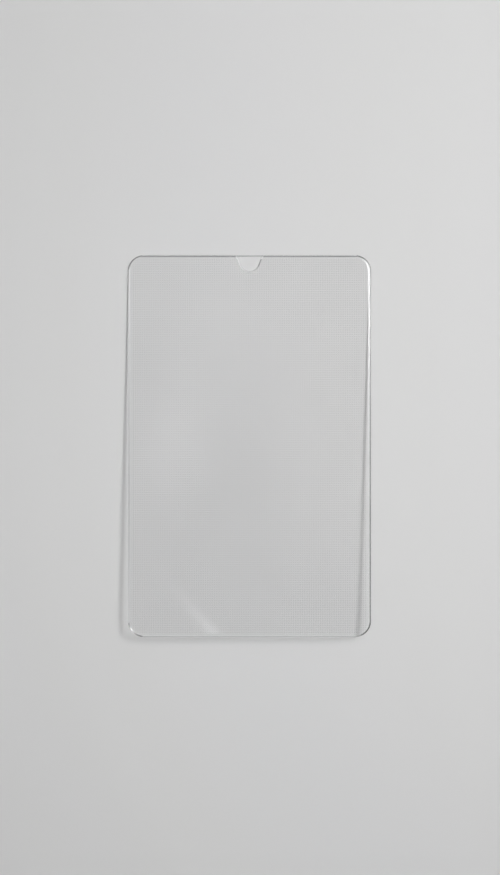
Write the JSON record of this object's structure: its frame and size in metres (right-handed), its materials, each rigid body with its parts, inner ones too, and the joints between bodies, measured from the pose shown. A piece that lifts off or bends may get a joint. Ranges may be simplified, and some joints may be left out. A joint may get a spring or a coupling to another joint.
{
  "type": "phone screen protector",
  "caption": "Thin clear glass sheet with rounded corners, a rounded rim and a small camera cut-out at its top end, stuck over a phone's display to guard it.",
  "frame": {"origin": "centre of the adhesive underside, in the plane that meets the phone", "axes": "+Y along the sheet towards the camera cut-out, +X across it to the right as seen from the front, +Z out of the front face"},
  "size_m": [0.07, 0.11, 0.0004],
  "materials": {
    "clear_glass": "clear and polished, with a rounded rim"
  },
  "bodies": {
    "root": {"screen_protector": "clear_glass"}
  },
  "joints": []
}
